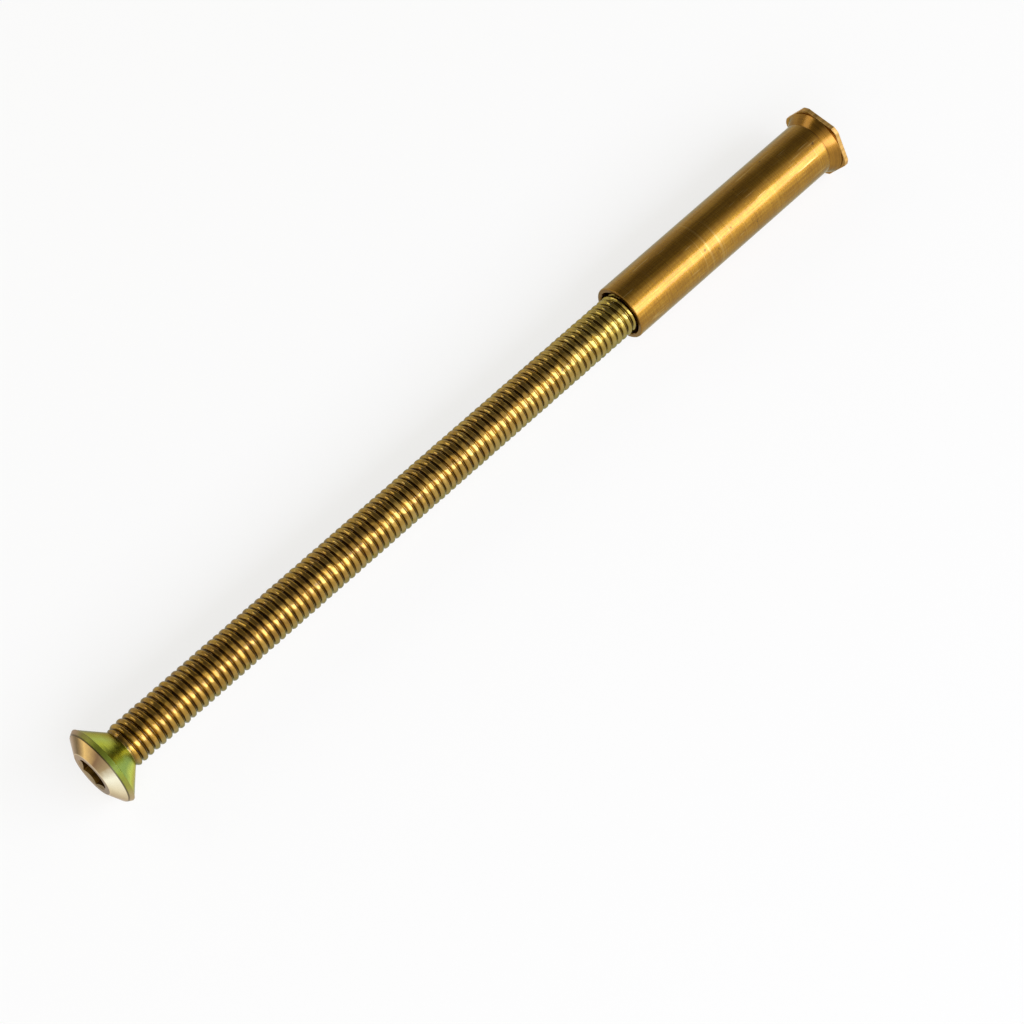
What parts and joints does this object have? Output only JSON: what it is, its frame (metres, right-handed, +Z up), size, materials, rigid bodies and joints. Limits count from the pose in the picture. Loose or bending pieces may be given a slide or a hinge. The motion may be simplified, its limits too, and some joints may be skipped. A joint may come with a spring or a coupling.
{
  "type": "through-bolt with sleeve nut",
  "caption": "Long countersunk bolt with a hexagon socket and a full-length thread, screwed into a brass sleeve nut with a hexagon head, for clamping fittings on both faces of a door or panel.",
  "frame": {"origin": "on the surface that the set lies on, below the middle of its length", "axes": "+X along the bolt from its head to the sleeve nut's head, +Z up"},
  "size_m": [0.133, 0.0112, 0.0112],
  "materials": {
    "passivated_steel": "zinc plated steel, yellow passivated, with green and pink tints",
    "turned_brass": "satin, with fine turning marks"
  },
  "bodies": {
    "bolt": {"countersunk_bolt": "passivated_steel"},
    "sleeve": {"sleeve_nut": "turned_brass"}
  },
  "joints": [
    {"name": "nut_travel", "type": "slide", "parent": "bolt", "child": "sleeve", "axis": [1, 0, 0], "range_m": [-0.018, 0.013]}
  ]
}
